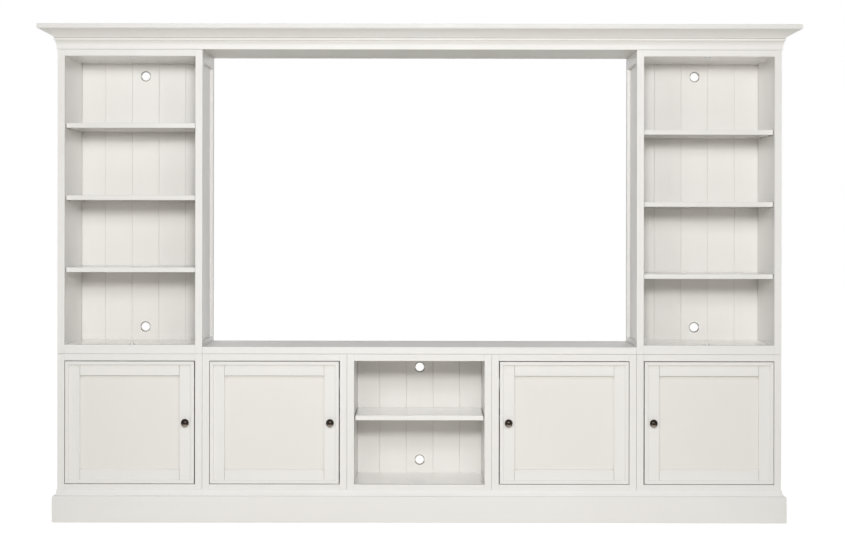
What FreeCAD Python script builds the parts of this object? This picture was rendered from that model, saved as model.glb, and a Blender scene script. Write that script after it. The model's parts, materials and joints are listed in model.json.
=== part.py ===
"""A white painted entertainment wall unit: base cabinets, two shelf towers, a bridge and a crown.

Millimetres, +Z up, front towards -Y. The origin is under the middle of the whole unit, on the floor.
"""
import FreeCAD, Part
import math
import os
import re
import Sketcher

# Driving sizes
SIZES = {
    # cabinets
    "module_width": 610,
    "carcass_depth": 457,
    "base_height": 711,
    "tower_height": 1283,
    "glide_height": 10,
    "glide_diameter": 26,
    "glide_inset": 60,
    # face frames
    "stile_width": 30,
    "frame_thickness": 20,
    "base_top_rail": 29,
    "base_bottom_rail": 60,
    "base_floor_height": 162,
    "tower_bottom_rail": 38,
    "tower_top_rail": 28,
    "frame_joint": 0.7,
    # boards
    "deck_thickness": 18,
    "panel_thickness": 15,
    "side_stile": 60,
    "side_rear_stile": 40,
    "side_rail": 50,
    "back_inset": 23,
    "back_thickness": 14,
    "back_board_width": 118,
    "back_board_shift": 6.5,
    "groove_width": 3,
    "cable_hole_diameter": 37,
    "cable_hole_flare": 4,
    "cable_hole_flare_depth": 6,
    "cable_hole_margin": 55,
    # shelves and their pins
    "shelf_thickness": 20,
    "shelf_edge_radius": 2,
    "shelf_back_gap": 3,
    "tower_shelf_setback": 22,
    "tower_shelf_gap": 3,
    "first_shelf_rise": 305,
    "centre_shelf_setback": 40,
    "centre_shelf_gap": 4,
    "cupboard_shelf_setback": 70,
    "base_shelf_rise": 266,
    "hole_pitch": 25.4,
    "pin_diameter": 5,
    "pin_hole_depth": 9,
    "pin_reach": 10,
    "pin_inset": 100,
    "pin_clearance": 0.05,
    # console top, bridge and cornice
    "console_thickness": 30,
    "console_overhang": 2,
    "console_gap": 0.5,
    "console_edge_radius": 2.5,
    "bridge_rail_thickness": 20,
    "soffit_thickness": 12,
    "cornice_thickness": 18,
    "cornice_edge_radius": 2,
    # crown moulding
    "crown_projection": 75,
    "crown_lip": 3,
    "frieze_height": 30.5,
    "frieze_foot": 4,
    "frieze_head": 12,
    "frieze_hollow": 16.5,
    "quirk_height": 5,
    "quirk_depth": 7,
    "bead_height": 14,
    "bead_projection": 15,
    "cove_height": 34,
    "cove_foot": 17,
    "cove_edge": 2,
    "cove_radius": 130,
    # plinth
    "plinth_height": 115,
    "plinth_thickness": 20,
    "plinth_floor_gap": 2,
    "plinth_edge_radius": 8,
    "cap_height": 24,
    "cap_foot": 9,
    "cap_edge": 3,
    "cap_radius": 40,
    # doors
    "door_gap": 3,
    "door_floor_gap": 2.2,
    "knob_gap": 4,
    "door_thickness": 19,
    "door_stile": 62,
    "door_rail": 60,
    "door_joint": 0.7,
    "door_bead_width": 15,
    "door_bead_thickness": 5,
    "door_bead_radius": 1.5,
    "door_panel_recess": 9,
    "door_panel_thickness": 6,
    "door_groove_depth": 8,
    "door_panel_float": 1,
    # door pivots
    "pivot_inset": 44,
    "swing_clearance": 0.35,
    "pivot_diameter": 5,
    "pivot_clearance": 0.05,
    "pivot_depth": 14,
    "pivot_play": 0.3,
    "bush_diameter": 9,
    "bush_length": 13,
    "bush_flange_diameter": 13,
    "bush_flange_thickness": 1,
    # knobs
    "knob_inset": 37,
    "knob_diameter": 33,
    "knob_rose_diameter": 18,
    "knob_rose_thickness": 2.5,
    "knob_neck_diameter": 11,
    "knob_neck_length": 9,
    "knob_flare_length": 6,
    "knob_flare_radius": 14,
    "knob_rim": 2,
    "knob_dome_height": 8,
    "knob_screw_diameter": 4,
    "knob_screw_reach": 10,
    "knob_screw_clearance": 0.3,
    "knob_screw_head": 9,
    "knob_screw_head_height": 3,
    # door catches
    "catch_width": 14,
    "catch_depth": 26,
    "catch_height": 44,
    "catch_rise": 140,
    "catch_gap": 0.4,
    "strike_width": 12,
    "strike_thickness": 1.5,
    # joining bolts
    "bolt_diameter": 8,
    "bolt_hole_clearance": 0.5,
    "bolt_head_diameter": 20,
    "bolt_head_height": 3,
    "bolt_setback": 60,
    "nut_diameter": 18,
    "nut_height": 8,
}

MODULES = ["far_left", "left", "centre", "right", "far_right"]
TOWER_MODULES = {"left": "far_left", "right": "far_right"}
HINGE_SIDES = {"far_left": "left", "left": "left", "right": "right", "far_right": "right"}
HOLES_PER_SHELF = 5
TOWER_SHELVES = 3
SHELF_STEP_HOLES = 12
BACK_BOARDS = 5

doc = FreeCAD.newDocument("wall_unit")
sheet = doc.addObject("Spreadsheet::Sheet", "sizes")
for row, (alias, number) in enumerate(SIZES.items(), 1):
    sheet.set(f"A{row}", alias)
    sheet.set(f"B{row}", str(number))
    sheet.setAlias(f"B{row}", alias)
doc.recompute()

nodes = []

# Places that many pieces share, as expressions of the driving sizes
FRONT = "((crown_projection - carcass_depth) / 2)"
BACK = "((crown_projection + carcass_depth) / 2)"
FRAME_BACK = f"({FRONT} + frame_thickness)"
BACK_FACE = f"({BACK} - back_inset - back_thickness)"
HALF_WIDTH = f"(module_width * {len(MODULES)} / 2)"
BASE_FLOOR = "base_floor_height"
BASE_CEILING = "(base_height - base_top_rail)"
TOWER_TOP = "(base_height + tower_height)"
TOWER_FLOOR = "(base_height + tower_bottom_rail)"
TOWER_CEILING = f"({TOWER_TOP} - tower_top_rail)"
BRIDGE_HEIGHT = "(frieze_height + quirk_height + bead_height + cove_height)"
BRIDGE_TOP = f"({TOWER_TOP} + {BRIDGE_HEIGHT})"
PIN_RADIUS = "(pin_diameter / 2)"
HALF_JOINT = "(frame_joint / 2)"


def module_left(index):
    """Left edge of a cabinet module."""
    return f"(module_width * {index - len(MODULES) / 2})"


def inner_left(index):
    return f"({module_left(index)} + stile_width)"


def inner_right(index):
    return f"({module_left(index + 1)} - stile_width)"


def module_middle(index):
    return f"({module_left(index)} + module_width / 2)"


def in_sheet(expression):
    """The expression with each size's name pointing at its cell."""
    return re.sub(r"[a-z][a-z_]+", lambda found: "sizes." + found.group(0), str(expression))


def bind(piece, prop, expression):
    piece.setExpression(prop, in_sheet(expression))


def value(expression):
    return float(sheet.evalExpression(in_sheet(expression)))


def place(piece, x, y, z):
    bind(piece, "Placement.Base.x", x)
    bind(piece, "Placement.Base.y", y)
    bind(piece, "Placement.Base.z", z)


def span(first, second, direction):
    """Low and high limits of a stretch that runs from first to second along +X or -X."""
    return (first, second) if direction > 0 else (second, first)


def node(name, pieces):
    """A named sub-part made of one or more separate solids."""
    group = doc.addObject("Part::Compound", name)
    group.Label = name
    group.Links = pieces
    nodes.append(group)


# Basic pieces

def board(name, x, y, z):
    """A square-edged board between a low and a high limit along each axis."""
    box = doc.addObject("Part::Box", name)
    bind(box, "Length", f"{x[1]} - {x[0]}")
    bind(box, "Width", f"{y[1]} - {y[0]}")
    bind(box, "Height", f"{z[1]} - {z[0]}")
    place(box, x[0], y[0], z[0])
    return box


AXIS_TURNS = {
    "x": FreeCAD.Rotation(FreeCAD.Vector(0, 1, 0), 90),
    "y": FreeCAD.Rotation(FreeCAD.Vector(1, 0, 0), -90),
    "z": FreeCAD.Rotation(),
}


def rod(name, diameter, length, axis, x, y, z):
    """A round rod that starts at a point and runs along +X, +Y or +Z."""
    cylinder = doc.addObject("Part::Cylinder", name)
    bind(cylinder, "Radius", f"({diameter}) / 2")
    bind(cylinder, "Height", length)
    cylinder.Placement = FreeCAD.Placement(FreeCAD.Vector(), AXIS_TURNS[axis])
    place(cylinder, x, y, z)
    return cylinder


def cut(name, base, tool):
    piece = doc.addObject("Part::Cut", name)
    piece.Base = base
    piece.Tool = tool
    return piece


def cut_all(name, base, tools):
    for number, tool in enumerate(tools, 1):
        base = cut(f"{name}_cut_{number}", base, tool)
    return base


def fuse(name, base, tool):
    piece = doc.addObject("Part::Fuse", name)
    piece.Base = base
    piece.Tool = tool
    piece.Refine = True
    return piece


# Sketched pieces

def plane_of(body, role):
    return next(feature for feature in body.Origin.OriginFeatures if feature.Role == role)


def sketch_on(body, role, name):
    sketch = body.newObject("Sketcher::SketchObject", name)
    sketch.AttachmentSupport = [(plane_of(body, role), "")]
    sketch.MapMode = "FlatFace"
    return sketch


def fix_point(sketch, geometry, position, point):
    """Hold one point of the sketch at a pair of expressions."""
    for direction, expression in zip(("DistanceX", "DistanceY"), point):
        number = sketch.addConstraint(
            Sketcher.Constraint(direction, -1, 1, geometry, position, value(expression)))
        bind(sketch, f"Constraints[{number}]", expression)


def arc_between(start, end, radius):
    """An anticlockwise arc between two points: a positive radius bulges to the right of the way there."""
    chord = end - start
    across = FreeCAD.Vector(chord.y, -chord.x, 0).normalize()
    reach = abs(radius)
    rise = reach - math.sqrt(reach ** 2 - (chord.Length / 2) ** 2)
    middle = (start + end) * 0.5 + across * math.copysign(rise, radius)
    if radius < 0:
        return Part.Arc(end, middle, start)
    return Part.Arc(start, middle, end)


def outline(sketch, corners):
    """A closed outline. A corner is (across, up), or (across, up, radius) where an arc leads to it.

    The radius is an expression; a leading minus makes the arc bulge to the left.
    """
    points = [FreeCAD.Vector(value(corner[0]), value(corner[1]), 0) for corner in corners]
    finishes = []
    first = sketch.GeometryCount
    for number, corner in enumerate(corners):
        start = points[number - 1]
        end = points[number]
        if len(corner) == 2:
            sketch.addGeometry(Part.LineSegment(start, end))
            finishes.append((1, 2))
            continue
        radius = value(corner[2])
        arc = sketch.addGeometry(arc_between(start, end, radius))
        finishes.append((1, 2) if radius > 0 else (2, 1))
        limit = sketch.addConstraint(Sketcher.Constraint("Radius", arc, abs(radius)))
        bind(sketch, f"Constraints[{limit}]", corner[2].lstrip("-"))
    for number, corner in enumerate(corners):
        following = (number + 1) % len(corners)
        sketch.addConstraint(Sketcher.Constraint(
            "Coincident", first + number, finishes[number][1], first + following, finishes[following][0]))
        fix_point(sketch, first + number, finishes[number][1], corner[:2])


def pad(body, sketch, name, length, reverse=False):
    feature = body.newObject("PartDesign::Pad", name)
    feature.Profile = sketch
    feature.Reversed = reverse
    bind(feature, "Length", length)
    return feature


def pocket(body, sketch, name, length, reverse=False):
    feature = body.newObject("PartDesign::Pocket", name)
    feature.Profile = sketch
    feature.Reversed = reverse
    bind(feature, "Length", length)
    return feature


def extrusion(name, role, profile, length):
    """A straight piece with one outline along its whole length."""
    body = doc.addObject("PartDesign::Body", name)
    section = sketch_on(body, role, f"{name}_section")
    outline(section, profile)
    pad(body, section, f"{name}_length", length)
    return body


def eased_board(name, x, y, z, radius):
    """A board along X with rounded front edges."""
    depth = f"({y[1]} - {y[0]})"
    height = f"({z[1]} - {z[0]})"
    profile = [
        (depth, "0"),
        (depth, height),
        (radius, height),
        ("0", f"{height} - {radius}", radius),
        ("0", radius),
        (radius, "0", radius),
    ]
    body = extrusion(name, "YZ_Plane", profile, f"{x[1]} - {x[0]}")
    place(body, x[0], y[0], z[0])
    return body


def moulding(name, profile, length, width, height, mitres, turn, x, y, z):
    """A straight moulding along its own +X, with its face towards its own -Y.

    The profile is in (Y, Z). An end named in mitres is cut back at 45 degrees from the face at -width.
    """
    body = extrusion(name, "YZ_Plane", profile, length)
    corners = {
        "start": [("0", "0"), (width, "0"), ("0", f"-({width})")],
        "end": [(length, "0"), (f"{length} - {width}", "0"), (length, f"-({width})")],
    }
    for end in mitres:
        plan = sketch_on(body, "XY_Plane", f"{name}_{end}_plan")
        outline(plan, corners[end])
        pocket(body, plan, f"{name}_{end}_mitre", height, reverse=True)
    body.Placement = FreeCAD.Placement(FreeCAD.Vector(), turn)
    place(body, x, y, z)
    return body


UPRIGHT = FreeCAD.Vector(0, 0, 1)


def wrapped_moulding(name, profile, width, height, z):
    """A moulding round the front and both ends of the unit, mitred at the front corners."""
    front_length = f"({HALF_WIDTH} * 2 + ({width}) * 2)"
    return_length = f"(carcass_depth + {width})"
    return [
        moulding(f"{name}_front", profile, front_length, width, height, ["start", "end"],
                 FreeCAD.Rotation(), f"-{HALF_WIDTH} - {width}", FRONT, z),
        moulding(f"{name}_left", profile, return_length, width, height, ["end"],
                 FreeCAD.Rotation(UPRIGHT, -90), f"-{HALF_WIDTH}", BACK, z),
        moulding(f"{name}_right", profile, return_length, width, height, ["start"],
                 FreeCAD.Rotation(UPRIGHT, 90), HALF_WIDTH, f"{FRONT} - {width}", z),
    ]


# Cabinet sides

def side_sheet(name, inner_face, outwards, thickness, z, shelf_undersides):
    """A side panel with groups of blind shelf-pin holes in its inner face, around each shelf."""
    body = doc.addObject("PartDesign::Body", name)
    depth = f"({BACK} - {FRAME_BACK})"
    height = f"({z[1]} - {z[0]})"
    face = sketch_on(body, "YZ_Plane", f"{name}_face")
    outline(face, [("0", "0"), (depth, "0"), (depth, height), ("0", height)])
    pad(body, face, f"{name}_board", thickness, reverse=outwards < 0)
    holes = sketch_on(body, "YZ_Plane", f"{name}_holes")
    columns = ["pin_inset - frame_thickness", f"{BACK_FACE} - {FRAME_BACK} - pin_inset"]
    spread = f"(hole_pitch * {(HOLES_PER_SHELF - 1) / 2})"
    for column in columns:
        for underside in shelf_undersides:
            lowest = f"{underside} - {PIN_RADIUS} - {spread} - {z[0]}"
            centre = FreeCAD.Vector(value(column), value(lowest), 0)
            radius = value(f"{PIN_RADIUS} + pin_clearance")
            circle = holes.addGeometry(Part.Circle(centre, UPRIGHT, radius))
            fix_point(holes, circle, 3, (column, lowest))
            limit = holes.addConstraint(Sketcher.Constraint("Radius", circle, radius))
            bind(holes, f"Constraints[{limit}]", f"{PIN_RADIUS} + pin_clearance")
    first_holes = pocket(body, holes, f"{name}_first_holes", "pin_hole_depth", reverse=outwards > 0)
    rows = body.newObject("PartDesign::LinearPattern", f"{name}_hole_rows")
    rows.Originals = [first_holes]
    rows.Direction = (holes, ["V_Axis"])
    bind(rows, "Length", f"hole_pitch * {HOLES_PER_SHELF - 1}")
    rows.Occurrences = HOLES_PER_SHELF
    body.Tip = rows
    place(body, inner_face, FRAME_BACK, z[0])
    return body


def side_frame(name, inner_face, outer_face, outwards, z):
    """The stiles and rails on the outside of a framed side panel."""
    panel_face = f"({inner_face} + {outwards} * panel_thickness)"
    x = span(panel_face, outer_face, outwards)
    front_stile_back = f"({FRONT} + side_stile)"
    rear_stile_front = f"({BACK} - side_rear_stile)"
    rail_y = (front_stile_back, rear_stile_front)
    return [
        board(f"{name}_front_stile", x, (FRAME_BACK, front_stile_back), z),
        board(f"{name}_rear_stile", x, (rear_stile_front, BACK), z),
        board(f"{name}_top_rail", x, rail_y, (f"({z[1]} - side_rail)", z[1])),
        board(f"{name}_bottom_rail", x, rail_y, (z[0], f"({z[0]} + side_rail)")),
    ]


def cabinet_sides(name, index, z, shelf_undersides, framed_left, framed_right):
    pieces = []
    hands = [
        ("left", inner_left(index), module_left(index), -1, framed_left),
        ("right", inner_right(index), module_left(index + 1), 1, framed_right),
    ]
    for hand, inner_face, outer_face, outwards, framed in hands:
        thickness = "panel_thickness" if framed else "stile_width"
        side_name = f"{name}_{hand}"
        pieces.append(side_sheet(side_name, inner_face, outwards, thickness, z, shelf_undersides))
        if framed:
            pieces += side_frame(side_name, inner_face, outer_face, outwards, z)
    return pieces


# Cabinet backs and face frames

def cable_hole(name, x, height):
    """Cutters for a round hole through a back: a straight bore with a flared front edge."""
    bore = rod(f"{name}_bore", "cable_hole_diameter", "back_thickness * 3", "y",
               x, f"{BACK_FACE} - back_thickness", height)
    flare = doc.addObject("Part::Cone", f"{name}_flare")
    bind(flare, "Radius1", "cable_hole_diameter / 2 + cable_hole_flare")
    bind(flare, "Radius2", "cable_hole_diameter / 2")
    bind(flare, "Height", "cable_hole_flare_depth")
    flare.Placement = FreeCAD.Placement(FreeCAD.Vector(), AXIS_TURNS["y"])
    place(flare, x, BACK_FACE, height)
    return [bore, flare]


def grooved_back(name, index, z, hole_heights, shift="0"):
    """A back of boards with bevelled front edges, so that a V groove shows at each joint.

    The middle board, which may be set to one side of the cabinet's middle, has the cable holes.
    """
    middle = f"({module_middle(index)} + {shift})"
    reach = (BACK_BOARDS - 2) / 2
    joints = [f"({middle} + back_board_width * {step - reach})" for step in range(BACK_BOARDS - 1)]
    edges = [inner_left(index)] + joints + [inner_right(index)]
    bevel = "(groove_width / 2)"
    pieces = []
    for number in range(BACK_BOARDS):
        width = f"({edges[number + 1]} - {edges[number]})"
        plan = [
            ("0", "back_thickness"),
            ("0", bevel),
            (bevel, "0"),
            (f"{width} - {bevel}", "0"),
            (width, bevel),
            (width, "back_thickness"),
        ]
        bevelled = extrusion(f"{name}_board_{number + 1}", "XY_Plane", plan, f"{z[1]} - {z[0]}")
        place(bevelled, edges[number], BACK_FACE, z[0])
        if number == BACK_BOARDS // 2:
            for level, height in enumerate(hole_heights, 1):
                hole = f"{name}_hole_{level}"
                bevelled = cut_all(hole, bevelled, cable_hole(hole, middle, height))
        pieces.append(bevelled)
    return pieces


def joined_edges(index):
    """Edges of a base cabinet's face frame; half a joint stays open towards each neighbour."""
    left = module_left(index)
    right = module_left(index + 1)
    if index > 0:
        left = f"({left} + {HALF_JOINT})"
    if index + 1 < len(MODULES):
        right = f"({right} - {HALF_JOINT})"
    return left, right


def face_frame(name, index, edges, z, ceiling, bottom_rail, pin_holes):
    """Two stiles and two rails between them, with blind holes for the door's pivot pins.

    The frame stops a joint's width short of what stands on the cabinet, so that a fine dark line shows.
    """
    y = (FRONT, FRAME_BACK)
    frame_top = f"({z[1]} - frame_joint)"
    stile_z = (z[0], frame_top)
    rail_x = (inner_left(index), inner_right(index))
    top = board(f"{name}_top_rail", rail_x, y, (ceiling, frame_top))
    bottom = board(f"{name}_bottom_rail", rail_x, y, bottom_rail)
    if pin_holes:
        top = cut(f"{name}_top_rail_drilled", top, pin_holes["top"])
        bottom = cut(f"{name}_bottom_rail_drilled", bottom, pin_holes["bottom"])
    return [
        board(f"{name}_left_stile", (edges[0], inner_left(index)), y, stile_z),
        board(f"{name}_right_stile", (inner_right(index), edges[1]), y, stile_z),
        top,
        bottom,
    ]


# Shelves and pins

def shelf(name, index, underside, setback, gap):
    x = (f"({inner_left(index)} + {gap})", f"({inner_right(index)} - {gap})")
    y = (f"({FRONT} + {setback})", f"({BACK_FACE} - shelf_back_gap)")
    return eased_board(name, x, y, (underside, f"({underside} + shelf_thickness)"), "shelf_edge_radius")


def pins_under(name, index, underside):
    """Four round pins that carry a shelf, two in each side panel."""
    pieces = []
    length = "(pin_hole_depth + pin_reach)"
    height = f"{underside} - {PIN_RADIUS}"
    rows = {"front": f"{FRONT} + pin_inset", "rear": f"{BACK_FACE} - pin_inset"}
    starts = {"left": f"{inner_left(index)} - pin_hole_depth", "right": f"{inner_right(index)} - pin_reach"}
    for row_name, y in rows.items():
        for hand, x in starts.items():
            pieces.append(rod(f"{name}_{row_name}_{hand}", "pin_diameter", length, "x", x, y, height))
    return pieces


# Doors

DOOR_DEPTH = "(door_bead_thickness + door_thickness)"
PIVOT_SETBACK = f"({DOOR_DEPTH} / 2)"
SWING_RADIUS = f"((pivot_inset ^ 2 + {PIVOT_SETBACK} ^ 2) ^ 0.5)"
HINGE_GAP = f"({SWING_RADIUS} - pivot_inset + swing_clearance)"


class Door:
    """The places on one door that its pieces share."""

    def __init__(self, number, index, hinge_side):
        self.name = f"door_{number}"
        self.index = index
        self.inwards = 1 if hinge_side == "left" else -1
        hinge_edge = f"({inner_left(index)} + {HINGE_GAP})"
        free_edge = f"({inner_right(index)} - knob_gap)"
        self.free_wall = inner_right(index)
        if hinge_side == "right":
            hinge_edge = f"({inner_right(index)} - {HINGE_GAP})"
            free_edge = f"({inner_left(index)} + knob_gap)"
            self.free_wall = inner_left(index)
        self.hinge_edge = hinge_edge
        self.free_edge = free_edge
        self.bottom = f"({BASE_FLOOR} + door_floor_gap)"
        self.top = f"({BASE_CEILING} - door_gap)"
        self.middle_height = f"(({self.bottom} + {self.top}) / 2)"
        self.left, self.right = (hinge_edge, free_edge) if hinge_side == "left" else (free_edge, hinge_edge)
        self.face = f"({FRONT} + door_bead_thickness)"
        self.rear = f"({self.face} + door_thickness)"
        self.panel_front = f"({self.face} + door_panel_recess)"
        self.panel_rear = f"({self.panel_front} + door_panel_thickness)"
        self.pivot_x = f"({hinge_edge} + {self.inwards} * pivot_inset)"
        self.pivot_y = f"({FRONT} + {PIVOT_SETBACK})"
        self.knob_x = f"({free_edge} - {self.inwards} * knob_inset)"


def door_frame(door):
    """Two stiles and two rails, grooved for the panel.

    The rails' stub tenons fill the stiles' grooves, and their shoulders leave a fine joint line.
    """
    inner = {"left": f"({door.left} + door_stile)", "right": f"({door.right} - door_stile)"}
    y = (door.face, door.rear)
    z = (door.bottom, door.top)
    rail_tops = {"bottom": f"({door.bottom} + door_rail)", "top": door.top}
    rail_bottoms = {"bottom": door.bottom, "top": f"({door.top} - door_rail)"}
    shoulder_x = (f"({inner['left']} + door_joint)", f"({inner['right']} - door_joint)")
    groove_x = (f"({inner['left']} - door_groove_depth)", f"({inner['right']} + door_groove_depth)")
    groove_y = (door.panel_front, door.panel_rear)
    groove_z = (f"({rail_tops['bottom']} - door_groove_depth)",
                f"({rail_bottoms['top']} + door_groove_depth)")

    def stile(hand, x, borings):
        name = f"{door.name}_{hand}_stile"
        groove = board(f"{name}_groove", groove_x, groove_y, z)
        return cut_all(name, board(f"{name}_board", x, y, z), [groove] + borings)

    def rail(level):
        name = f"{door.name}_{level}_rail"
        height = (rail_bottoms[level], rail_tops[level])
        body = board(f"{name}_board", shoulder_x, y, height)
        tenons = board(f"{name}_tenons", groove_x, groove_y, height)
        groove = board(f"{name}_groove", groove_x, groove_y, groove_z)
        return cut(f"{name}_grooved", fuse(f"{name}_tenoned", body, tenons), groove)

    bush_hole = "bush_diameter + pivot_clearance * 2"
    bush_borings = [
        rod(f"{door.name}_lower_boring", bush_hole, "bush_length", "z",
            door.pivot_x, door.pivot_y, door.bottom),
        rod(f"{door.name}_upper_boring", bush_hole, "bush_length", "z",
            door.pivot_x, door.pivot_y, f"{door.top} - bush_length"),
    ]
    screw_boring = rod(f"{door.name}_screw_boring", "knob_screw_diameter + knob_screw_clearance * 2",
                       "door_thickness", "y", door.knob_x, door.face, door.middle_height)
    borings = {"left": bush_borings, "right": [screw_boring]}
    if door.inwards < 0:
        borings = {"left": [screw_boring], "right": bush_borings}
    return [
        stile("left", (door.left, inner["left"]), borings["left"]),
        stile("right", (inner["right"], door.right), borings["right"]),
        rail("top"),
        rail("bottom"),
    ]


def door_panel(door):
    side = "(door_stile - door_groove_depth + door_panel_float)"
    end = "(door_rail - door_groove_depth + door_panel_float)"
    return [board(
        f"{door.name}_panel_board",
        (f"({door.left} + {side})", f"({door.right} - {side})"),
        (door.panel_front, door.panel_rear),
        (f"({door.bottom} + {end})", f"({door.top} - {end})"))]


def door_bead(door):
    """Four mitred strips with rounded front edges, planted round the edge of the door's face."""
    section = [
        ("0", "0"),
        ("0", "door_bead_thickness - door_bead_radius"),
        ("-door_bead_radius", "door_bead_thickness", "door_bead_radius"),
        ("-door_bead_width + door_bead_radius", "door_bead_thickness"),
        ("-door_bead_width", "door_bead_thickness - door_bead_radius", "door_bead_radius"),
        ("-door_bead_width", "0"),
    ]
    width = f"({door.right} - {door.left})"
    height = f"({door.top} - {door.bottom})"
    inset = "door_bead_width"
    strips = {
        "bottom": (width, 0, door.left, f"{door.bottom} + {inset}"),
        "right": (height, -90, f"{door.right} - {inset}", door.bottom),
        "top": (width, 180, door.right, f"{door.top} - {inset}"),
        "left": (height, 90, f"{door.left} + {inset}", door.top),
    }
    facing_front = FreeCAD.Rotation(FreeCAD.Vector(1, 0, 0), 90)
    pieces = []
    for level, (length, angle, x, z) in strips.items():
        turn = FreeCAD.Rotation(FreeCAD.Vector(0, 1, 0), angle).multiply(facing_front)
        pieces.append(moulding(f"{door.name}_{level}_bead", section, length, inset, "door_bead_thickness",
                               ["start", "end"], turn, x, door.face, z))
    return pieces


def knob(door):
    """A turned knob with a rose, a waisted neck and a domed head, bored for its screw."""
    body = doc.addObject("PartDesign::Body", f"{door.name}_knob_turning")
    section = sketch_on(body, "XY_Plane", f"{door.name}_knob_section")
    bore = "(knob_screw_diameter / 2 + pin_clearance)"
    neck_top = "(knob_rose_thickness + knob_neck_length)"
    flare_top = f"({neck_top} + knob_flare_length)"
    rim_top = f"({flare_top} + knob_rim)"
    dome_top = f"({rim_top} + knob_dome_height)"
    dome_radius = "((knob_diameter ^ 2 / 4 + knob_dome_height ^ 2) / (2 * knob_dome_height))"
    outline(section, [
        (bore, "0"),
        ("knob_rose_diameter / 2", "0"),
        ("knob_rose_diameter / 2", "-knob_rose_thickness"),
        ("knob_neck_diameter / 2", "-knob_rose_thickness"),
        ("knob_neck_diameter / 2", f"-{neck_top}"),
        ("knob_diameter / 2", f"-{flare_top}", "knob_flare_radius"),
        ("knob_diameter / 2", f"-{rim_top}"),
        ("0", f"-{dome_top}", f"-{dome_radius}"),
        ("0", "-knob_screw_reach"),
        (bore, "-knob_screw_reach"),
    ])
    turning = body.newObject("PartDesign::Revolution", f"{door.name}_knob_revolution")
    turning.Profile = section
    turning.ReferenceAxis = (section, ["V_Axis"])
    place(body, door.knob_x, door.face, door.middle_height)
    return [body]


def bush(door, level):
    """A flanged bush pressed into the end of the hinge stile, round a pivot pin."""
    name = f"{door.name}_{level}_bush"
    flange_low = f"{door.bottom} - bush_flange_thickness" if level == "lower" else door.top
    sleeve_low = door.bottom if level == "lower" else f"{door.top} - bush_length"
    bore_low = f"{door.bottom} - bush_length" if level == "lower" else f"{door.top} - bush_length * 2"
    sleeve = rod(f"{name}_sleeve", "bush_diameter", "bush_length", "z",
                 door.pivot_x, door.pivot_y, sleeve_low)
    flange = rod(f"{name}_flange", "bush_flange_diameter", "bush_flange_thickness", "z",
                 door.pivot_x, door.pivot_y, flange_low)
    bore = rod(f"{name}_bore", "pivot_diameter + pivot_clearance * 2", "bush_length * 3", "z",
               door.pivot_x, door.pivot_y, bore_low)
    return cut(f"{name}_bored", fuse(f"{name}_flanged", sleeve, flange), bore)


def catch_levels(door):
    height = f"({door.middle_height} + catch_rise)"
    return (height, f"({height} + catch_height)")


def door_hardware(door):
    """Pivot bushes, the knob's screw and the catch's strike plate."""
    screw_head = rod(f"{door.name}_screw_head", "knob_screw_head", "knob_screw_head_height", "y",
                     door.knob_x, door.rear, door.middle_height)
    screw_shank = rod(f"{door.name}_screw_shank", "knob_screw_diameter",
                      "knob_screw_reach + door_thickness", "y",
                      door.knob_x, f"{door.face} - knob_screw_reach", door.middle_height)
    strike_end = f"({door.free_edge} - {door.inwards} * strike_width)"
    strike = board(f"{door.name}_strike_plate", span(strike_end, door.free_edge, door.inwards),
                   (door.rear, f"({door.rear} + strike_thickness)"), catch_levels(door))
    screw = fuse(f"{door.name}_knob_screw", screw_shank, screw_head)
    return [bush(door, "lower"), bush(door, "upper"), screw, strike]


def magnetic_catch(door):
    """A catch on the cabinet's side panel, just behind the strike plate of the closed door."""
    front = f"({door.rear} + strike_thickness + catch_gap)"
    inner_end = f"({door.free_wall} - {door.inwards} * catch_width)"
    return board(f"{door.name}_catch", span(inner_end, door.free_wall, door.inwards),
                 (front, f"({front} + catch_depth)"), catch_levels(door))


def pivot_pins(door):
    """The fixed pins in the rails; the lower one has a collar that carries the door's lower bush."""
    lower_reach = "(door_floor_gap + bush_length - pivot_play)"
    upper_reach = "(door_gap + bush_length - pivot_play)"
    collar = rod(f"{door.name}_pin_collar", "bush_flange_diameter",
                 "door_floor_gap - bush_flange_thickness - pivot_play", "z",
                 door.pivot_x, door.pivot_y, BASE_FLOOR)
    lower = rod(f"{door.name}_lower_pin", "pivot_diameter", f"pivot_depth + {lower_reach}", "z",
                door.pivot_x, door.pivot_y, f"{BASE_FLOOR} - pivot_depth")
    upper = rod(f"{door.name}_upper_pin", "pivot_diameter", f"pivot_depth + {upper_reach}", "z",
                door.pivot_x, door.pivot_y, f"{BASE_CEILING} - {upper_reach}")
    return [fuse(f"{door.name}_collared_pin", lower, collar), upper]


def pivot_holes(door):
    """Cutters for the blind holes in the rails that hold the pivot pins."""
    size = "pivot_diameter + pivot_clearance * 2"
    return {
        "bottom": rod(f"{door.name}_lower_hole", size, "pivot_depth", "z",
                      door.pivot_x, door.pivot_y, f"{BASE_FLOOR} - pivot_depth"),
        "top": rod(f"{door.name}_upper_hole", size, "pivot_depth", "z",
                   door.pivot_x, door.pivot_y, BASE_CEILING),
    }


# Decks and the bolts through them

BOLT_Y = f"({FRONT} + bolt_setback)"
BOLT_HOLE = "bolt_diameter + bolt_hole_clearance * 2"
BASE_DECK_UNDERSIDE = "(base_height - deck_thickness)"
SOFFIT_TOP = f"({TOWER_TOP} + soffit_thickness)"


def deck(name, index, z):
    return board(name, (inner_left(index), inner_right(index)), (FRAME_BACK, BACK_FACE), z)


def bolt_cutter(name, index, low, high):
    return rod(name, BOLT_HOLE, f"{high} - {low}", "z", module_middle(index), BOLT_Y, low)


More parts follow.
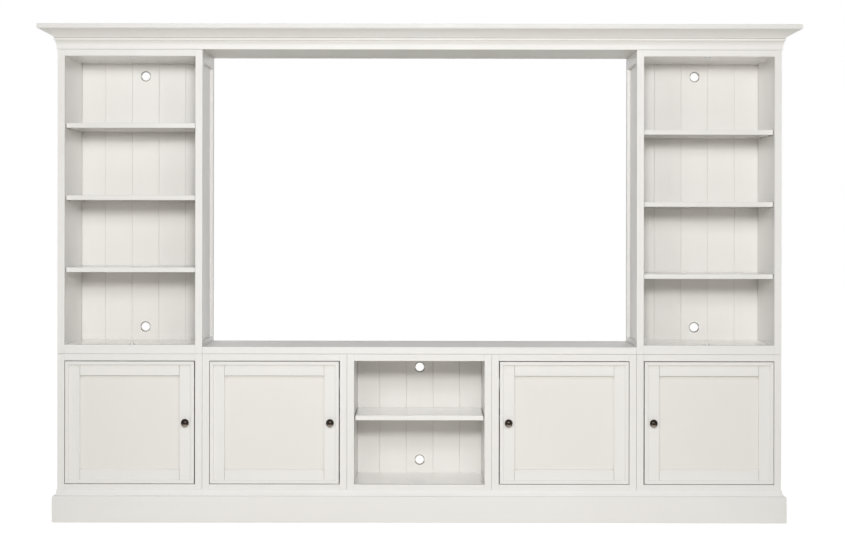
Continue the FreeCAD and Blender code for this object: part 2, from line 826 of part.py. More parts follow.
def joining_bolts(name, index):
    """A bolt down through the tower's floor into the base, and one up through its ceiling into the bridge."""
    middle = module_middle(index)
    floor_length = f"({TOWER_FLOOR} - {BASE_DECK_UNDERSIDE} + nut_height)"
    ceiling_length = f"({SOFFIT_TOP} - {TOWER_CEILING} + nut_height)"
    nut_low = {"floor": f"({BASE_DECK_UNDERSIDE} - nut_height)", "ceiling": SOFFIT_TOP}
    head_low = {"floor": TOWER_FLOOR, "ceiling": f"({TOWER_CEILING} - bolt_head_height)"}
    shank_low = {"floor": nut_low["floor"], "ceiling": TOWER_CEILING}
    length = {"floor": floor_length, "ceiling": ceiling_length}
    pieces = []
    for level in ("floor", "ceiling"):
        prefix = f"{name}_{level}"
        shank = rod(f"{prefix}_shank", "bolt_diameter", length[level], "z",
                    middle, BOLT_Y, shank_low[level])
        head = rod(f"{prefix}_head", "bolt_head_diameter", "bolt_head_height", "z",
                   middle, BOLT_Y, head_low[level])
        ring = rod(f"{prefix}_nut_ring", "nut_diameter", "nut_height", "z",
                   middle, BOLT_Y, nut_low[level])
        hole = rod(f"{prefix}_nut_hole", "bolt_diameter + pin_clearance * 2", "nut_height", "z",
                   middle, BOLT_Y, nut_low[level])
        pieces.append(fuse(f"{prefix}_bolt", shank, head))
        pieces.append(cut(f"{prefix}_nut", ring, hole))
    return pieces


# Base cabinets
doors = {module: Door(number, MODULES.index(module), side)
         for number, (module, side) in enumerate(HINGE_SIDES.items(), 1)}
base_z = ("glide_height", "base_height")
base_shelf_underside = f"({BASE_FLOOR} + base_shelf_rise)"
base_back_z = (f"({BASE_FLOOR} - deck_thickness)", "base_height")
base_floors = []
base_tops = []
base_shelves = []
shelf_pins = []
glides = []
for index, module in enumerate(MODULES):
    name = f"base_{module}"
    node(f"{name}_sides", cabinet_sides(f"{name}_side", index, base_z, [base_shelf_underside],
                                        module == MODULES[0], module == MODULES[-1]))
    pin_holes = pivot_holes(doors[module]) if module in doors else None
    node(f"{name}_face_frame", face_frame(
        f"{name}_frame", index, joined_edges(index), base_z,
        BASE_CEILING, (f"({BASE_FLOOR} - base_bottom_rail)", BASE_FLOOR), pin_holes))
    holes = []
    if module == "centre":
        holes = [f"{BASE_FLOOR} + cable_hole_margin", f"{BASE_CEILING} - cable_hole_margin"]
    node(f"{name}_back", grooved_back(f"{name}_back", index, base_back_z, holes))
    base_floors.append(deck(f"{name}_floor", index, (f"({BASE_FLOOR} - deck_thickness)", BASE_FLOOR)))
    top = deck(f"{name}_top", index, (BASE_DECK_UNDERSIDE, "base_height"))
    if module in TOWER_MODULES.values():
        top = cut(f"{name}_top_drilled", top,
                  bolt_cutter(f"{name}_top_hole", index, BASE_DECK_UNDERSIDE, "base_height"))
    base_tops.append(top)
    setback = "centre_shelf_setback" if module == "centre" else "cupboard_shelf_setback"
    gap = "centre_shelf_gap" if module == "centre" else "tower_shelf_gap"
    base_shelves.append(shelf(f"{name}_shelf", index, base_shelf_underside, setback, gap))
    shelf_pins += pins_under(f"{name}_pin", index, base_shelf_underside)
    for hand, x in {"left": f"{module_left(index)} + stile_width / 2",
                    "right": f"{module_left(index + 1)} - stile_width / 2"}.items():
        for end, y in {"front": f"{FRONT} + glide_inset", "rear": f"{BACK} - glide_inset"}.items():
            glides.append(rod(f"{name}_glide_{hand}_{end}", "glide_diameter", "glide_height", "z", x, y, "0"))
node("base_floors", base_floors)
node("base_tops", base_tops)
node("base_shelves", base_shelves)
node("glides", glides)

# Towers
tower_z = ("base_height", TOWER_TOP)
bolts = []
for side, module in TOWER_MODULES.items():
    index = MODULES.index(module)
    name = f"tower_{side}"
    drop = "hole_pitch" if side == "right" else "0"
    board_shift = "-back_board_shift" if side == "right" else "back_board_shift"
    undersides = [f"({TOWER_FLOOR} + first_shelf_rise + hole_pitch * {SHELF_STEP_HOLES * step} - {drop})"
                  for step in range(TOWER_SHELVES)]
    node(f"{name}_sides", cabinet_sides(f"{name}_side", index, tower_z, undersides, True, True))
    node(f"{name}_face_frame", face_frame(
        f"{name}_frame", index, (module_left(index), module_left(index + 1)), tower_z,
        TOWER_CEILING, ("base_height", TOWER_FLOOR), None))
    node(f"{name}_back", grooved_back(
        f"{name}_back", index, tower_z,
        [f"{TOWER_FLOOR} + cable_hole_margin", f"{TOWER_CEILING} - cable_hole_margin"], board_shift))
    floor_z = (f"({TOWER_FLOOR} - deck_thickness)", TOWER_FLOOR)
    ceiling_z = (TOWER_CEILING, f"({TOWER_CEILING} + deck_thickness)")
    node(f"{name}_decks", [
        cut(f"{name}_floor", deck(f"{name}_floor_board", index, floor_z),
            bolt_cutter(f"{name}_floor_hole", index, *floor_z)),
        cut(f"{name}_ceiling", deck(f"{name}_ceiling_board", index, ceiling_z),
            bolt_cutter(f"{name}_ceiling_hole", index, *ceiling_z)),
    ])
    node(f"{name}_shelves", [
        shelf(f"{name}_shelf_{step}", index, underside, "tower_shelf_setback", "tower_shelf_gap")
        for step, underside in enumerate(undersides, 1)
    ])
    for step, underside in enumerate(undersides, 1):
        shelf_pins += pins_under(f"{name}_pin_{step}", index, underside)
    bolts += joining_bolts(f"{name}_joint", index)
node("shelf_pins", shelf_pins)
node("joining_bolts", bolts)

# Doors
catches = []
pins = []
for door in doors.values():
    node(f"{door.name}_frame", door_frame(door))
    node(f"{door.name}_panel", door_panel(door))
    node(f"{door.name}_bead", door_bead(door))
    node(f"{door.name}_knob", knob(door))
    node(f"{door.name}_hardware", door_hardware(door))
    catches.append(magnetic_catch(door))
    pins += pivot_pins(door)
node("magnetic_catches", catches)
node("pivot_pins", pins)

# Console top between the towers
console_edge = f"({module_left(MODULES.index(TOWER_MODULES['right']))} - console_gap)"
console_z = ("base_height", "(base_height + console_thickness)")
node("console_top", [eased_board("console_board", (f"(-{console_edge})", console_edge),
                                 (f"({FRONT} - console_overhang)", BACK), console_z, "console_edge_radius")])

# Bridge over the television bay
bridge_z = (TOWER_TOP, BRIDGE_TOP)
bridge_front = f"({FRONT} + bridge_rail_thickness)"
bridge_rear = f"({BACK} - bridge_rail_thickness)"
bridge_end = f"({HALF_WIDTH} - bridge_rail_thickness)"
bridge_ends = (f"(-{HALF_WIDTH})", HALF_WIDTH)
node("bridge_rails", [
    board("bridge_front_rail", bridge_ends, (FRONT, bridge_front), bridge_z),
    board("bridge_rear_rail", bridge_ends, (bridge_rear, BACK), bridge_z),
    board("bridge_left_rail", (f"(-{HALF_WIDTH})", f"(-{bridge_end})"),
          (bridge_front, bridge_rear), bridge_z),
    board("bridge_right_rail", (bridge_end, HALF_WIDTH), (bridge_front, bridge_rear), bridge_z),
])
soffit = board("soffit_board", (f"(-{bridge_end})", bridge_end), (bridge_front, bridge_rear),
               (TOWER_TOP, SOFFIT_TOP))
soffit_holes = [bolt_cutter(f"soffit_hole_{side}", MODULES.index(module), TOWER_TOP, SOFFIT_TOP)
                for side, module in TOWER_MODULES.items()]
node("bridge_soffit", [cut_all("soffit_drilled", soffit, soffit_holes)])
cornice_end = f"({HALF_WIDTH} + crown_projection)"
cornice_z = (BRIDGE_TOP, f"({BRIDGE_TOP} + cornice_thickness)")
cornice_y = (f"({FRONT} - crown_projection)", BACK)
node("cornice_board", [eased_board("cornice_top", (f"(-{cornice_end})", cornice_end),
                                   cornice_y, cornice_z, "cornice_edge_radius")])

# Crown moulding: a frieze hollowed under its head, a bead over a quirk, and a slanting cove
cove_head = "(crown_projection - crown_lip)"
frieze_reach = "(frieze_head - frieze_foot)"
frieze_radius = f"((frieze_hollow ^ 2 + {frieze_reach} ^ 2) / (2 * {frieze_reach}))"
frieze_profile = [
    ("0", "0"),
    ("0", "frieze_height"),
    ("-frieze_head", "frieze_height"),
    ("-frieze_foot", "frieze_height - frieze_hollow", f"-{frieze_radius}"),
    ("-frieze_foot", "0"),
]
bead_profile = [
    ("0", "0"),
    ("0", "quirk_height + bead_height"),
    ("-bead_projection + bead_height / 2", "quirk_height + bead_height"),
    ("-bead_projection", "quirk_height + bead_height / 2", "bead_height / 2"),
    ("-bead_projection + bead_height / 2", "quirk_height", "bead_height / 2"),
    ("-quirk_depth", "quirk_height"),
    ("-quirk_depth", "0"),
]
cove_profile = [
    ("0", "0"),
    ("0", "cove_height"),
    (f"-{cove_head}", "cove_height"),
    (f"-{cove_head}", "cove_height - cove_edge"),
    ("-cove_foot", "cove_edge", "-cove_radius"),
    ("-cove_foot", "0"),
]
bead_level = f"({TOWER_TOP} + frieze_height)"
cove_level = f"({bead_level} + quirk_height + bead_height)"
node("crown_moulding",
     wrapped_moulding("frieze", frieze_profile, "frieze_head", "frieze_height", TOWER_TOP)
     + wrapped_moulding("crown_bead", bead_profile, "bead_projection", "(quirk_height + bead_height)",
                        bead_level)
     + wrapped_moulding("crown_cove", cove_profile, cove_head, "cove_height", cove_level))

# Plinth with a rounded top edge, and the small cap moulding on it
plinth_rise = "(plinth_height - plinth_floor_gap)"
plinth_profile = [
    ("0", "0"),
    ("0", plinth_rise),
    ("-plinth_thickness + plinth_edge_radius", plinth_rise),
    ("-plinth_thickness", f"{plinth_rise} - plinth_edge_radius", "plinth_edge_radius"),
    ("-plinth_thickness", "0"),
]
cap_profile = [
    ("0", "0"),
    ("0", "cap_height"),
    ("-cap_edge", "cap_height"),
    ("-cap_foot", "cap_edge", "-cap_radius"),
    ("-cap_foot", "0"),
]
node("plinth",
     wrapped_moulding("plinth", plinth_profile, "plinth_thickness", plinth_rise, "plinth_floor_gap"))
node("plinth_cap", wrapped_moulding("plinth_cap", cap_profile, "cap_foot", "cap_height", "plinth_height"))

# Test every piece, then write one file for each sub-part
doc.recompute()
failed = [piece.Name for piece in doc.Objects if "Invalid" in piece.State or "Error" in piece.State]
if failed:
    raise RuntimeError(f"pieces that could not be built: {failed}")
for part in nodes:
    if part.Shape.isNull() or not part.Shape.isValid():
        raise RuntimeError(f"{part.Label} has no valid shape")
    if len(part.Shape.Solids) != len(part.Links):
        raise RuntimeError(f"{part.Label} has {len(part.Shape.Solids)} solids for {len(part.Links)} pieces")
os.makedirs("parts", exist_ok=True)
for part in nodes:
    part.Shape.exportStep(f"parts/{part.Label}.step")
print(len(nodes), "sub-parts,", sum(len(part.Shape.Solids) for part in nodes), "solids")
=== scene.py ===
"""The wall unit in a plain pale studio: camera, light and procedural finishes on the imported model."""
import json
import math

import bpy
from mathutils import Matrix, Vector


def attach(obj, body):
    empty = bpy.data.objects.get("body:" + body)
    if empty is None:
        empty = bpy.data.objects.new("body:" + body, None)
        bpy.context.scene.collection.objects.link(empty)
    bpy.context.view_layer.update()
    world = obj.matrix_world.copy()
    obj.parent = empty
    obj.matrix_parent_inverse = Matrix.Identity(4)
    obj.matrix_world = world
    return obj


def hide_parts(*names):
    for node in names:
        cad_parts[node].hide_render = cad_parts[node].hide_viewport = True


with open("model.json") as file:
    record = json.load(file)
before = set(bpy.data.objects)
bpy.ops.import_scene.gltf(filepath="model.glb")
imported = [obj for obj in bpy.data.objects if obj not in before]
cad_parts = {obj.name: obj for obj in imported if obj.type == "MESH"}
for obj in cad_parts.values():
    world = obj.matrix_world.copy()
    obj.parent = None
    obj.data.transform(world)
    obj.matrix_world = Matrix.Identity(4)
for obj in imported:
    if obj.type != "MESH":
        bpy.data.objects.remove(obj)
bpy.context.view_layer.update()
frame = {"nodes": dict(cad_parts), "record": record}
scene = bpy.context.scene
scene.view_settings.view_transform = "Standard"

# Sizes of the unit that the finishes follow, in metres
MODULE_WIDTH = 0.610
FACE_STILE = 0.030
DOOR_STILE_END = 0.095

# Camera at the photograph's place, with a very slight roll and a small shift for the framing
CAMERA_PLACE = (0.033, -8.555, 1.2515)
CAMERA_ROLL = math.radians(-0.08)
LENS_MM = 84.6
SENSOR_MM = 36.0
SHIFT = (-0.0058, -0.0582)
FAR_CLIP = 100.0

camera_data = bpy.data.cameras.new("camera")
camera_data.lens = LENS_MM
camera_data.sensor_width = SENSOR_MM
camera_data.sensor_fit = "HORIZONTAL"
camera_data.shift_x, camera_data.shift_y = SHIFT
camera_data.clip_end = FAR_CLIP
camera = bpy.data.objects.new("camera", camera_data)
camera.location = CAMERA_PLACE
camera.rotation_euler = (math.radians(90), CAMERA_ROLL, 0)
scene.collection.objects.link(camera)
scene.camera = camera


# Node helpers

class Tree:
    """A short way to add and join nodes in a material or in the world."""

    def __init__(self, owner, output="ShaderNodeOutputMaterial"):
        owner.use_nodes = True
        self.owner = owner
        self.nodes = owner.node_tree.nodes
        self.links = owner.node_tree.links
        self.nodes.clear()
        self.out = self.nodes.new(output)

    def add(self, kind, inputs=None, **settings):
        """A node with its settings and its inputs; an input that is a socket is linked."""
        made = self.nodes.new(kind)
        for key, setting in settings.items():
            setattr(made, key, setting)
        for key, given in (inputs or {}).items():
            if isinstance(given, bpy.types.NodeSocket):
                self.links.new(given, made.inputs[key])
            else:
                made.inputs[key].default_value = given
        return made

    def math(self, operation, first, second=0.0):
        return self.add("ShaderNodeMath", {0: first, 1: second}, operation=operation).outputs[0]

    def shares(self, *parts):
        """The sum of some values, each times its share; a part is a value and its share."""
        total = self.math("MULTIPLY", *parts[0])
        for part in parts[1:]:
            total = self.math("ADD", total, self.math("MULTIPLY", *part))
        return total

    def mix_colour(self, factor, first, second):
        return self.add("ShaderNodeMix", {0: factor, 6: first, 7: second}, data_type="RGBA").outputs[2]

    def mix_shader(self, factor, first, second):
        return self.add("ShaderNodeMixShader", {0: factor, 1: first, 2: second}).outputs[0]

    def span(self, given, low, high, to_low=0.0, to_high=1.0):
        """The value moved from one range to another, and kept within it."""
        inputs = {0: given, 1: low, 2: high, 3: to_low, 4: to_high}
        return self.add("ShaderNodeMapRange", inputs).outputs[0]

    def place(self):
        """Where a point is on the unit, in metres."""
        return self.add("ShaderNodeTexCoord").outputs["Object"]

    def noise(self, vector, scale, detail=3.0, roughness=0.5):
        inputs = {"Vector": vector, "Scale": scale, "Detail": detail, "Roughness": roughness}
        return self.add("ShaderNodeTexNoise", inputs).outputs["Fac"]

    def stretched(self, vector, scale):
        return self.add("ShaderNodeMapping", {"Vector": vector, "Scale": scale}).outputs["Vector"]

    def bump(self, height, strength, distance, normal=None):
        inputs = {"Height": height, "Strength": strength, "Distance": distance}
        if normal is not None:
            inputs["Normal"] = normal
        return self.add("ShaderNodeBump", inputs).outputs["Normal"]

    def seen(self):
        """One on rays that show a surface: straight to the camera, in a reflection or through glass."""
        path = self.add("ShaderNodeLightPath").outputs
        direct = self.math("MAXIMUM", path["Is Camera Ray"], path["Is Glossy Ray"])
        return self.math("MAXIMUM", direct, path["Is Transmission Ray"])

    def principled(self, inputs):
        return self.finish(self.add("ShaderNodeBsdfPrincipled", inputs).outputs[0])

    def finish(self, shader):
        self.links.new(shader, self.out.inputs["Surface"])
        return self.owner


def material_tree(name):
    return Tree(bpy.data.materials.new(name))


# Where most of a noise's values lie
NOISE_RANGE = (0.3, 0.7)

# White paint over wood: a deep and a light tone for each use of it. The backs, the door panels and the
# soffit under the bridge have darker, warmer copies of the white as painted shade, and the shelves a
# lighter copy as painted light
WHITE = ((0.880, 0.867, 0.851, 1.0), (0.905, 0.897, 0.886, 1.0))
SHADED_BACK_WHITE = ((0.865, 0.847, 0.819, 1.0), (0.890, 0.876, 0.854, 1.0))
LIT_SHELF_WHITE = ((0.912, 0.898, 0.879, 1.0), (0.934, 0.925, 0.912, 1.0))
SHADED_WARM_WHITE = ((0.853, 0.838, 0.806, 1.0), (0.876, 0.866, 0.840, 1.0))
# Painted shade: the darker colour for inner corners and under ledges, and for the walls of holes
PAINTED_SHADE = (0.56, 0.53, 0.48, 1.0)
PAINTED_HOLE_SHADE = (0.34, 0.32, 0.29, 1.0)
TONE_RANGE = (0.25, 0.85)

# The least and the most roughness of the paint
EGGSHELL = (0.45, 0.53)
HALF_SATIN = (0.38, 0.42)
SATIN = (0.285, 0.305)
GLOSS = (0.12, 0.14)
PAINT_IOR = 1.46

# Painted shade, a darker colour in inner corners and under ledges: how far off a facing surface may be,
# how open the corner, and how much more those under a ledge count than those over one
CLOSE_CORNERS = (0.012, 0.35, 0.0)
DOOR_CORNERS = (0.018, 0.84, 0.9)
DEEP_CORNERS = (0.030, 0.70, 0.0)
FEW_CORNERS = (0.012, 0.08, 0.0)
CORNER_SAMPLES = 6

# Grain that ripples the paint, and the fine dimples of the paint itself
GRAIN_ALONG = 1.6
GRAIN_ACROSS = 55.0
RELIEF = 0.03
RIPPLE_DEPTH = 0.0003
DIMPLE_DEPTH = 0.0002

# Added to a place counted in modules: half because the middle module is centred, ten to stay above zero
MODULE_SHIFT = 10.5


def grain(tree, place, axis):
    """Wood grain that shows through as a fine ripple along one axis."""
    scale = tuple(GRAIN_ALONG if letter == axis else GRAIN_ACROSS for letter in "xyz")
    return tree.noise(tree.stretched(place, scale), scale=6.0, detail=4.0, roughness=0.62)


def upright_mask(tree, place, stile):
    """One on the upright pieces of a frame, which lie within a stile's width of a module's edge."""
    across = tree.add("ShaderNodeSeparateXYZ", {0: place}).outputs["X"]
    cell = tree.math("ADD", tree.math("DIVIDE", across, MODULE_WIDTH), MODULE_SHIFT)
    share = tree.math("FRACT", cell)
    from_middle = tree.math("ABSOLUTE", tree.math("SUBTRACT", share, 0.5))
    return tree.math("GREATER_THAN", from_middle, 0.5 - stile / MODULE_WIDTH)


def frame_grain(tree, place, stile):
    """Grain along the rails of a frame and up its stiles."""
    mask = upright_mask(tree, place, stile)
    uprights = tree.math("MULTIPLY", grain(tree, place, "z"), mask)
    rails = tree.math("MULTIPLY", grain(tree, place, "x"), tree.math("SUBTRACT", 1.0, mask))
    return tree.math("ADD", uprights, rails)


def with_painted_hole_shade(tree, colour):
    """The colour, with painted shade where the surface turns up or down: in holes and at board ends."""
    normal = tree.add("ShaderNodeNewGeometry").outputs["Normal"]
    rise = tree.add("ShaderNodeSeparateXYZ", {0: normal}).outputs["Z"]
    turned = tree.span(tree.math("ABSOLUTE", rise), low=0.10, high=0.35)
    return tree.mix_colour(turned, colour, PAINTED_HOLE_SHADE)


def with_painted_shade(tree, colour, reach, openness, lift):
    """The colour with painted shade: darker in inner corners, and under ledges most where the lift is
    large.
    """
    normal = tree.add("ShaderNodeNewGeometry").outputs["Normal"]
    upward = tree.add("ShaderNodeVectorMath", {0: normal, 1: (0.0, 0.0, lift)}, operation="ADD").outputs[0]
    facing = tree.add("ShaderNodeVectorMath", {0: upward}, operation="NORMALIZE").outputs[0]
    inputs = {"Distance": reach, "Normal": facing}
    corner = tree.add("ShaderNodeAmbientOcclusion", inputs, samples=CORNER_SAMPLES).outputs["AO"]
    return tree.mix_colour(tree.span(corner, openness, 0.0), colour, PAINTED_SHADE)


def paint(name, axis, stile=None, tones=WHITE, sheen=EGGSHELL, corners=CLOSE_CORNERS, shaded_holes=False):
    """Brushed paint. Grain runs along an axis, or as a frame's does where a stile is given."""
    tree = material_tree(name)
    place = tree.place()
    ripple = frame_grain(tree, place, stile) if stile else grain(tree, place, axis)
    cloud = tree.noise(place, scale=2.3, detail=1.0)
    board = tree.add("ShaderNodeNewGeometry").outputs["Random Per Island"]
    tone = tree.shares((cloud, 0.8), (ripple, 0.10), (board, 0.10))
    colour = tree.mix_colour(tree.span(tone, *TONE_RANGE), *tones)
    # painted shade on the walls of holes and on board ends
    if shaded_holes:
        colour = with_painted_hole_shade(tree, colour)
    # painted shade in inner corners and under ledges
    colour = with_painted_shade(tree, colour, *corners)
    dimples = tree.noise(place, scale=420.0, detail=2.0)
    normal = tree.bump(ripple, RELIEF, RIPPLE_DEPTH)
    normal = tree.bump(dimples, RELIEF, DIMPLE_DEPTH, normal)
    marks = tree.noise(place, scale=9.0, detail=1.0)
    wear = tree.shares((marks, 0.9), (ripple, 0.1))
    rough = tree.span(wear, *NOISE_RANGE, *sheen)
    return tree.principled({"Base Color": colour, "Roughness": rough, "Normal": normal, "IOR": PAINT_IOR})


def bronze():
    """Dark bronze in patches, with a painted reflection of the pale floor making it paler under the rim.
    """
    tree = material_tree("knob_bronze")
    place = tree.place()
    patches = tree.noise(place, scale=160.0, detail=4.0, roughness=0.6)
    fine = tree.noise(place, scale=900.0, detail=2.0)
    within_knob = tree.add("ShaderNodeTexCoord").outputs["Generated"]
    height = tree.add("ShaderNodeSeparateXYZ", {0: within_knob}).outputs["Z"]
    # painted reflection: paler towards the bottom of the knob, as the pale floor would show in it
    floor_facing = tree.span(height, low=0.34, high=0.14)
    patchy = tree.span(patches, low=0.2, high=0.6, to_low=0.6)
    painted_reflection = tree.math("MULTIPLY", floor_facing, patchy)
    hollows = (0.016, 0.013, 0.011, 1.0)
    patina = (0.050, 0.040, 0.032, 1.0)
    reflected_floor = (0.300, 0.255, 0.215, 1.0)
    colour = tree.mix_colour(tree.span(patches, low=0.35, high=0.75), hollows, patina)
    colour = tree.mix_colour(painted_reflection, colour, reflected_floor)
    rough = tree.span(patches, *NOISE_RANGE, to_low=0.16, to_high=0.25)
    normal = tree.bump(fine, strength=0.12, distance=0.0002)
    return tree.principled({"Base Color": colour, "Metallic": 1.0, "Roughness": rough, "Normal": normal})


def steel():
    """Zinc-plated steel with faint brushing."""
    tree = material_tree("steel")
    place = tree.place()
    along = tree.stretched(place, (400.0, 400.0, 40.0))
    brushed = tree.noise(along, scale=3.0, detail=3.0, roughness=0.6)
    patches = tree.noise(place, scale=120.0, detail=3.0, roughness=0.55)
    dull = (0.50, 0.50, 0.51, 1.0)
    bright = (0.66, 0.66, 0.67, 1.0)
    colour = tree.mix_colour(patches, dull, bright)
    rough = tree.span(brushed, *NOISE_RANGE, to_low=0.29, to_high=0.42)
    normal = tree.bump(brushed, strength=0.15, distance=0.0002)
    return tree.principled({"Base Color": colour, "Metallic": 1.0, "Roughness": rough, "Normal": normal})


def moulded_plastic():
    """Matt moulded plastic with a fine spark texture."""
    tree = material_tree("moulded_plastic")
    place = tree.place()
    spark = tree.noise(place, scale=1500.0, detail=2.0)
    cloud = tree.noise(place, scale=60.0, detail=2.0)
    greyer = (0.70, 0.69, 0.66, 1.0)
    paler = (0.78, 0.775, 0.75, 1.0)
    colour = tree.mix_colour(cloud, greyer, paler)
    normal = tree.bump(spark, strength=0.2, distance=0.0002)
    rough = tree.span(spark, *NOISE_RANGE, to_low=0.5, to_high=0.62)
    return tree.principled({"Base Color": colour, "Roughness": rough, "Normal": normal})


# Which paint each kind of node has, and which way the grain runs under it
UPRIGHT_PAINT = paint("paint_upright", "z", sheen=SATIN)
# the shelves' lighter white is painted light
SHELF_PAINT = paint("paint_shelf", "x", tones=LIT_SHELF_WHITE, sheen=GLOSS)
PLINTH_PAINT = paint("paint_plinth", "x", corners=FEW_CORNERS)
LEVEL_PAINT = paint("paint_level", "x")
PAINT_BY_ENDING = {
    "_face_frame": paint("paint_face_frame", "x", FACE_STILE),
    "_frame": paint("paint_door_frame", "x", DOOR_STILE_END, corners=DOOR_CORNERS),
    "_bead": paint("paint_door_bead", "x", DOOR_STILE_END, corners=DOOR_CORNERS),
    # the door panels' and the backs' darker, warmer whites are painted shade
    "_panel": paint("paint_door_panel", "z", tones=SHADED_WARM_WHITE, corners=DOOR_CORNERS),
    "_back": paint("paint_back", "z", tones=SHADED_BACK_WHITE, sheen=SATIN, shaded_holes=True),
    "_sides": UPRIGHT_PAINT,
    "_shelves": SHELF_PAINT,
    "_decks": SHELF_PAINT,
    "_floors": SHELF_PAINT,
    # the soffit is an underside; its darker, warmer white is painted shade
    "bridge_soffit": paint("paint_soffit", "x", tones=SHADED_WARM_WHITE),
    "console_top": paint("paint_console", "x", sheen=HALF_SATIN),
    "crown_moulding": paint("paint_crown", "x", corners=DEEP_CORNERS),
    "plinth": PLINTH_PAINT,
    "plinth_cap": PLINTH_PAINT,
}
OTHER_FINISHES = {"knob_bronze": bronze(), "steel": steel(), "moulded_plastic": moulded_plastic()}


def paint_for(node):
    """The paint of a wooden node, by the end of its name."""
    for ending, material in PAINT_BY_ENDING.items():
        if node.endswith(ending):
            return material
    return LEVEL_PAINT


# Painted pieces: each stands for a wooden node, with every sharp edge of its boards softened
EASE_WIDTH = 0.0008
FINE_EASE_WIDTH = 0.0004
FINE_NODES = ("crown_moulding", "plinth_cap", "plinth")
EASE_SEGMENTS = 2
FLAT_ANGLE = math.radians(0.4)
SHARP_ANGLE = math.radians(40)

# How much more a large face counts in the shading at its corners than a small one
FLAT_WEIGHT = 100


def boards_of(mesh):
    """The closed boards of a node, as lists of triangles; they follow one another in its mesh."""
    places = [vertex.co.to_tuple(6) for vertex in mesh.vertices]
    triangles = []
    unpaired = set()
    for polygon in mesh.polygons:
        corners = [places[index] for index in polygon.vertices]
        triangles.append(corners)
        for start, end in zip(corners, corners[1:] + corners[:1]):
            if (end, start) in unpaired:
                unpaired.remove((end, start))
            else:
                unpaired.add((start, end))
        if not unpaired:
            yield triangles
            triangles = []


def separate_boards(name, mesh):
    """A mesh in which each board is whole and shares no corner with the next."""
    places = []
    faces = []
    for triangles in boards_of(mesh):
        index_at = {}
        for corners in triangles:
            for place in corners:
                if place not in index_at:
                    index_at[place] = len(places)
                    places.append(place)
            faces.append([index_at[place] for place in corners])
    made = bpy.data.meshes.new(name)
    made.from_pydata(places, [], faces)
    made.shade_smooth()
    return made


def painted(node, body, width):
    """A copy of a node with eased edges, which rides in the node's place."""
    name = f"{node}_painted"
    piece = bpy.data.objects.new(name, separate_boards(name, frame["nodes"][node].data))
    scene.collection.objects.link(piece)
    flat = piece.modifiers.new("clear flats", "DECIMATE")
    flat.decimate_type = "DISSOLVE"
    flat.angle_limit = FLAT_ANGLE
    edge = piece.modifiers.new("eased edges", "BEVEL")
    edge.width = width
    edge.segments = EASE_SEGMENTS
    edge.limit_method = "ANGLE"
    edge.angle_limit = SHARP_ANGLE
    edge.use_clamp_overlap = False
    shade = piece.modifiers.new("flat faces", "WEIGHTED_NORMAL")
    shade.weight = FLAT_WEIGHT
    piece.data.materials.append(paint_for(node))
    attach(piece, body)
    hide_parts(node)


slots = {entry["node"]: entry["material_slot"] for entry in frame["record"]["subparts"]}
for body, nodes in frame["record"]["behaviour"]["bodies"].items():
    for node in nodes:
        finish = OTHER_FINISHES.get(slots[node])
        if finish is None:
            fine = node.startswith(FINE_NODES) or node.endswith("_bead")
            painted(node, body, FINE_EASE_WIDTH if fine else EASE_WIDTH)
            continue
        for material_slot in frame["nodes"][node].material_slots:
            material_slot.material = finish

# Pale floor that shows white, with the unit's soft shadow
FLOOR_HALF = 30.0
FLOOR_GLOW = 0.93
FLOOR_TONES = ((0.68, 0.66, 0.61, 1.0), (0.72, 0.70, 0.65, 1.0))
floor_mesh = bpy.data.meshes.new("floor")
floor_corners = [(-FLOOR_HALF, -FLOOR_HALF, 0), (FLOOR_HALF, -FLOOR_HALF, 0),
                 (FLOOR_HALF, FLOOR_HALF, 0), (-FLOOR_HALF, FLOOR_HALF, 0)]
floor_mesh.from_pydata(floor_corners, [], [(0, 1, 2, 3)])
floor = bpy.data.objects.new("floor", floor_mesh)
scene.collection.objects.link(floor)


def floor_material():
    """Matt, pale and slightly warm; it glows where it is seen, to show white outside the shadow."""
    tree = material_tree("floor_white")
    mottled = tree.noise(tree.place(), scale=3.0, detail=2.0)
    colour = tree.mix_colour(mottled, *FLOOR_TONES)
    matt = tree.add("ShaderNodeBsdfDiffuse", {"Color": colour}).outputs[0]
    glow = tree.add("ShaderNodeEmission", {"Strength": FLOOR_GLOW}).outputs[0]
    dark = tree.add("ShaderNodeEmission", {"Strength": 0.0}).outputs[0]
    lift = tree.mix_shader(tree.seen(), dark, glow)
    return tree.finish(tree.add("ShaderNodeAddShader", {0: matt, 1: lift}).outputs[0])


floor_mesh.materials.append(floor_material())

# World: white where it is seen, an even soft and warm fill for everything else
WORLD_FILL = 0.14
WORLD_COLOUR = (1.0, 0.96, 0.89, 1.0)
SEEN_COLOUR = (1.0, 1.0, 1.0, 1.0)
world = bpy.data.worlds.new("studio")
scene.world = world
world_tree = Tree(world, "ShaderNodeOutputWorld")
white = world_tree.add("ShaderNodeBackground", {"Color": SEEN_COLOUR, "Strength": 1.0})
fill = world_tree.add("ShaderNodeBackground", {"Color": WORLD_COLOUR, "Strength": WORLD_FILL})
world_tree.finish(world_tree.mix_shader(world_tree.seen(), fill.outputs[0], white.outputs[0]))

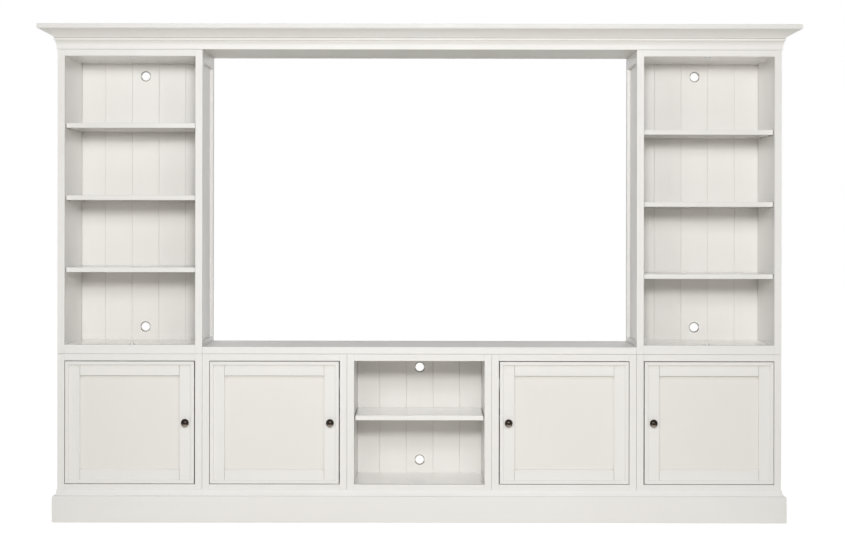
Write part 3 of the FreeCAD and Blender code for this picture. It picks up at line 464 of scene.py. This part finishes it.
# Lamps: one soft light in front of the camera and above it, and one nearer the unit on each side,
# all aimed low, so that the doors get as much of it as the crown
LAMP_COLOUR = (1.0, 1.0, 0.995)
FRONT_LAMPS = {
    "middle lamp": {"place": (0.1, -7.0, 2.24), "size": (0.80, 0.65), "watts": 209.0},
    "left lamp": {"place": (-1.34, -4.8, 2.36), "size": (0.87, 0.60), "watts": 33.4},
    "right lamp": {"place": (1.06, -4.5, 2.36), "size": (0.87, 0.60), "watts": 23.0},
}
FRONT_AIM = (0.0, 0.0, -1.0)
ALL_ROUND = math.pi


def add_lamp(name, place, aim, size, watts, spread):
    """A soft oblong lamp that points from its place at its aim and is not seen itself."""
    data = bpy.data.lights.new(name, "AREA")
    data.shape = "RECTANGLE"
    data.size, data.size_y = size
    data.energy = watts
    data.spread = spread
    data.color = LAMP_COLOUR
    lamp = bpy.data.objects.new(name, data)
    lamp.location = place
    lamp.rotation_euler = (Vector(aim) - Vector(place)).to_track_quat("-Z", "Y").to_euler()
    lamp.visible_camera = False
    scene.collection.objects.link(lamp)
    return lamp


for lamp_name, facts in FRONT_LAMPS.items():
    add_lamp(lamp_name, aim=FRONT_AIM, spread=ALL_ROUND, **facts)

# Narrow beams that light the back, the top and the ends, and leave the open middle as it is
BEAM_SPREAD = math.radians(45)
BACK_BEAM_Y = 2.6
TOWER_X = 1.22
END_BEAM_X = 4.2
TO_FRONT = (0, -1, 0)
DOWN = (0, 0, -1)


def add_beam(name, place, towards, size, watts):
    """A narrow lamp that shows in no reflection."""
    aim = Vector(place) + Vector(towards)
    beam = add_lamp(name, place, aim, size, watts, BEAM_SPREAD)
    beam.visible_glossy = False


for hand, way in {"left": -1, "right": 1}.items():
    add_beam(f"{hand} back beam", (TOWER_X * way, BACK_BEAM_Y, 1.15), TO_FRONT, size=(0.6, 1.9), watts=3.6)
    add_beam(f"{hand} end beam", (END_BEAM_X * way, 0.08, 1.0), (-way, 0, 0), size=(0.35, 1.8), watts=2.6)
add_beam("low back beam", (0.0, BACK_BEAM_Y, 0.36), TO_FRONT, size=(1.7, 0.35), watts=2.6)
add_beam("top beam", (0.0, 0.0, 4.2), DOWN, size=(3.0, 0.4), watts=4.4)
